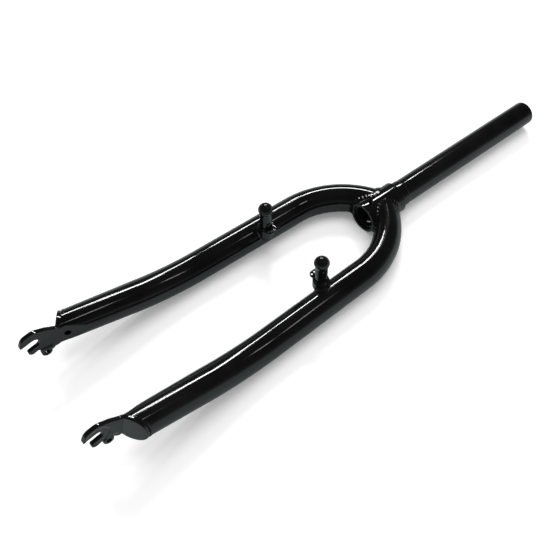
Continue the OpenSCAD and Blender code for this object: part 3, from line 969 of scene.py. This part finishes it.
class FORK_OT_dropouts(bpy.types.Operator):
    """The dropouts: each one plate, slotted, with an eyelet, folded across the blade end"""

    bl_idname = "fork.dropouts"
    bl_label = "Dropouts"

    def execute(self, context):
        thick, seat = mm("plate"), mm("nut_seat") / 2
        eye_r, hole_r = mm("eyelet") / 2, mm("eyelet_hole") / 2
        axle = np.array([mm("axle_reach"), mm("axle_rise")])
        hole = circle_path(EYELET_AT, hole_r, 40, clockwise=True)
        circles = [circle_path(axle, seat + d, 72) for d in (-0.25, 0.25)]
        dent = (axle, seat, 0.35, circles)
        parts = plate_solid(plate_outline(axle), [hole], thick, 0.45, place_plate, 1.1, dent)

        # Raised face of the eyelet, a low ring on the plate
        face, foot = thick + 0.5, thick - 0.3
        corners = [(foot, hole_r), (face, hole_r, 0.2), (face, eye_r - 0.45, 0.3)]
        ring = lathe(rounded([*corners, (foot, eye_r - 0.2)]), 48, "z")
        x, y, z = ring[..., 0], ring[..., 2] - mm("eyelet_set"), ring[..., 1]
        local = np.stack([x + EYELET_AT[0], y, z + EYELET_AT[1]], -1)
        parts.append(sheet(from_dropout(local), wrap_m=True, wrap_n=True))
        both_sides("dropout_plate", parts, "dropout", sharp=42.0)
        return {"FINISHED"}


class FORK_OT_bosses(bpy.types.Operator):
    """The brake bosses with their studs and spring plates"""

    bl_idname = "fork.bosses"
    bl_label = "Brake bosses"

    def execute(self, context):
        base, wide, stud = mm("boss_base") / 2, mm("boss_collar") / 2, mm("stud") / 2
        seat = mm("boss_seat")
        end = seat + mm("spring_plate") + mm("stud_length")
        neck, foot, screw, screw_depth = base - 0.9, 2.0, 2.5, 15.0
        spot = np.array([-mm("boss_drop"), mm("boss_gap") / 2, 0.0])
        profile = rounded(
            [(foot, 0.0), (foot, neck), (seat - 11.2, neck, 0.6), (seat - 10.4, wide, 0.9)]
            + [(seat - 0.8, wide, 0.6), (seat - 0.4, base, 0.2), (seat, base, 0.2)]
            + [(seat, stud, 0.2), (end, stud, 0.6), (end, screw, 0.2)]
            + [(end - screw_depth, screw), (end - screw_depth, 0.0)],
            closed=False,
        )
        turned = lathe(profile[1:-1], 64, "z") + spot
        parts = [
            sheet(turned, wrap_n=True),
            fan(turned[0], spot + profile[0, 0] * FRONT),
            fan(turned[-1], spot + profile[-1, 0] * FRONT),
        ]
        both_sides("boss", parts, "brake_boss")

        # Spring plate: round on the outer side, a lobe towards the wheel, three holes in an arc
        half, reach, corner = mm("spring_width") / 2, mm("spring_reach"), 4.4
        sides = [(-half, -2.0), (-half, -reach, corner), (half, -reach, corner), (half, -2.0)]
        lobe = rounded(sides, steps=12, closed=False)
        t = np.radians(np.linspace(-38, 218, 40))
        collar = (base + 0.4) * np.stack([np.cos(t), np.sin(t)], 1)
        outline = np.vstack([collar, lobe[1:-1]])
        outline = spaced(np.vstack([outline, outline[:1]]), 0.7)[:-1]
        holes = [circle_path((0, 0), stud + 0.1, 48, clockwise=True)]
        hole_arc, hole_r = 9.3, 1.1
        for b in np.radians([-112, -90, -68]):
            centre = (hole_arc * math.cos(b), hole_arc * math.sin(b))
            holes.append(circle_path(centre, hole_r, 20, clockwise=True))

        def place(u, v, h):
            return np.stack([u, v, h], -1) + spot + seat * FRONT

        parts = plate_solid(outline, holes, mm("spring_plate"), 0.35, place, 1.4)
        both_sides("spring_plate_painted", parts, "spring_plate")
        return {"FINISHED"}


class FORK_OT_caps(bpy.types.Operator):
    """The push-on caps over the brake studs"""

    bl_idname = "fork.caps"
    bl_label = "Stud caps"

    def execute(self, context):
        body, head, bore = mm("cap_body") / 2, mm("cap_head") / 2, mm("stud") / 2 + 0.1
        tall, high, lip = mm("cap_length"), mm("cap_head_height"), 1.6
        neck = tall - high
        foot = mm("boss_seat") + mm("spring_plate") + 0.15
        spot = np.array([-mm("boss_drop"), mm("boss_gap") / 2, foot])

        # Straight body, a flare over the last 4 mm under the head, the lip and an elliptic dome
        shares = np.linspace(0, 0.9, 8)
        flare = [(neck - 4.0 * (1 - t), body + (head - body) * 0.7 * t * t) for t in shares]
        side = [(0.0, bore), (0.0, body, 0.5), *flare, (neck, head - 0.35, 0.3), (neck + lip, head)]
        dome = np.radians(np.linspace(0, 90, 16))[1:-1]
        cup = np.stack([neck + lip + (high - lip) * np.sin(dome), head * np.cos(dome)], 1)
        outer = lathe(np.vstack([rounded(side, closed=False), cup]), 64, "z") + spot
        end = tall - 7.0
        inside = rounded([(end, 0.0), (end, bore, 0.5), (0.0, bore)], closed=False)
        well = lathe(inside[1:], 64, "z") + spot
        parts = [
            sheet(outer, wrap_n=True),
            fan(outer[-1], spot + tall * FRONT),
            sheet(well, wrap_n=True),
            fan(well[0], spot + end * FRONT),
        ]
        both_sides("cap", parts, "stud_cap", "cap_black", 45.0)
        return {"FINISHED"}


def direction(around, above):
    """Unit vector: degrees round from +X towards +Y, and degrees above the floor."""
    a, e = math.radians(around), math.radians(above)
    return Vector((math.cos(a) * math.cos(e), math.sin(a) * math.cos(e), math.sin(e)))


def set_camera(scene):
    """The camera as the photograph was taken; turn 0 looks along +Y."""
    turn, roll = math.radians(CAMERA_TURN), math.radians(CAMERA_ROLL)
    back = direction(CAMERA_TURN - 90, CAMERA_RISE)
    right = Vector((math.cos(turn), math.sin(turn), 0.0))
    up = back.cross(right)
    tilted = right * math.cos(roll) + up * math.sin(roll)
    upright = up * math.cos(roll) - right * math.sin(roll)
    data = bpy.data.cameras.new("camera")
    data.sensor_fit, data.sensor_width = "HORIZONTAL", SENSOR_MM
    data.lens = FOCAL_PIXELS * SENSOR_MM / PICTURE_PIXELS
    data.clip_start, data.clip_end = 0.01, 50.0
    camera = bpy.data.objects.new("camera", data)
    place = Matrix((tilted, upright, back)).transposed().to_4x4()
    place.translation = Vector(CAMERA_TARGET) + back * CAMERA_AWAY
    camera.matrix_world = place
    scene.collection.objects.link(camera)
    scene.camera = camera


def lay_floor(scene):
    """Paper floor, 0.1 mm under the fork: white with lifted shadows for the camera, cooler and
    darker in reflections."""
    low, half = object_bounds()[0][2] - 0.0001, 6
    corners = ((-half, -half), (half, -half), (half, half), (-half, half))
    mesh = bpy.data.meshes.new("floor")
    mesh.from_pydata([(x, y, low) for x, y in corners], [], [(0, 1, 2, 3)])
    floor = bpy.data.objects.new("floor", mesh)
    scene.collection.objects.link(floor)
    material, tree = new_material("paper_floor")
    seen = add(tree, "ShaderNodeLightPath").outputs["Is Camera Ray"]
    c = scene.fork_colours
    paper = add(tree, "ShaderNodeBsdfDiffuse", {"Color": (*c.floor, 1.0)})
    dimmed = add(tree, "ShaderNodeBsdfDiffuse", {"Color": (*c.floor_reflected, 1.0)})
    lift = add(tree, "ShaderNodeEmission", {"Color": (1.0, 1.0, 1.0, 1.0), "Strength": 0.14})
    both = add(tree, "ShaderNodeAddShader", links={0: paper.outputs[0], 1: lift.outputs[0]})
    mix = either(tree, seen, dimmed, both)
    add(tree, "ShaderNodeOutputMaterial", links={"Surface": mix.outputs[0]})
    mesh.materials.append(material)
    floor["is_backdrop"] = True


def light_room(scene):
    """For reflections, grey walls that darken upwards to a black ceiling; for soft light, an
    even grey; for the camera, white."""
    world = bpy.data.worlds.new("studio")
    scene.world = world
    world.use_nodes = True
    tree = world.node_tree
    tree.nodes.clear()
    path = add(tree, "ShaderNodeLightPath").outputs
    way = add(tree, "ShaderNodeTexCoord").outputs["Generated"]
    height = add(tree, "ShaderNodeSeparateXYZ", links={0: way}).outputs["Z"]
    greys = [(0.0, 0.42), (0.1, 0.2), (0.3, 0.05), (0.6, 0.012), (1.0, 0.012)]
    walls = glow(tree, 1.0)
    tree.links.new(ramp(tree, height, greys), walls.inputs["Color"])
    seen = either(tree, path["Is Glossy Ray"], glow(tree, 0.55), walls)
    out = either(tree, path["Is Camera Ray"], seen, glow(tree, 1.0))
    add(tree, "ShaderNodeOutputWorld", links={"Surface": out.outputs[0]})


def glow(tree, strength):
    return add(tree, "ShaderNodeBackground", {"Color": (1, 1, 1, 1), "Strength": strength})


def either(tree, test, no, yes):
    links = {0: test, 1: no.outputs[0], 2: yes.outputs[0]}
    return add(tree, "ShaderNodeMixShader", links=links)


def hang_lamp(scene, name, around, above, away, wide, high, power, glossy):
    """A soft rectangular lamp in a direction from the object, facing it."""
    way = direction(around, above)
    data = bpy.data.lights.new(name, "AREA")
    data.shape, data.size, data.size_y, data.energy = "RECTANGLE", wide, high, power
    lamp = bpy.data.objects.new(name, data)
    lamp.location = Vector(LAMP_AIM) + way * away
    lamp.rotation_euler = (-way).to_track_quat("-Z", "Y").to_euler()
    lamp.visible_glossy = glossy
    scene.collection.objects.link(lamp)


class FORK_OT_stage(bpy.types.Operator):
    """Floor, studio light, sky and camera"""

    bl_idname = "fork.stage"
    bl_label = "Studio"

    def execute(self, context):
        context.scene.view_settings.view_transform = "Standard"
        set_camera(context.scene)
        lay_floor(context.scene)
        light_room(context.scene)
        for lamp in LAMPS:
            hang_lamp(context.scene, *lamp)
        return {"FINISHED"}


class FORK_PT_panel(bpy.types.Panel):
    """Sizes, colours and pieces of the fork"""

    bl_idname = "FORK_PT_panel"
    bl_label = "Rigid fork"
    bl_space_type = "VIEW_3D"
    bl_region_type = "UI"
    bl_category = "Fork"

    def draw(self, context):
        layout = self.layout
        for group in (context.scene.fork_sizes, context.scene.fork_colours):
            for key in group.bl_rna.properties.keys():
                if key not in ("rna_type", "name"):
                    layout.prop(group, key)
        for operator in PIECES:
            layout.operator(operator.bl_idname)


PIECES = (
    FORK_OT_steerer,
    FORK_OT_blades,
    FORK_OT_dropouts,
    FORK_OT_bosses,
    FORK_OT_caps,
    FORK_OT_welds,
    FORK_OT_stage,
)
CLASSES = (ForkSizes, ForkColours, *PIECES, FORK_PT_panel)


def register():
    for item in CLASSES:
        bpy.utils.register_class(item)
    bpy.types.Scene.fork_sizes = PointerProperty(type=ForkSizes)
    bpy.types.Scene.fork_colours = PointerProperty(type=ForkColours)


def unregister():
    del bpy.types.Scene.fork_sizes, bpy.types.Scene.fork_colours
    for item in reversed(CLASSES):
        bpy.utils.unregister_class(item)


def main():
    register()
    for operator in PIECES:
        group, name = operator.bl_idname.split(".")
        getattr(getattr(bpy.ops, group), name)()


if __name__ == "__main__":
    main()
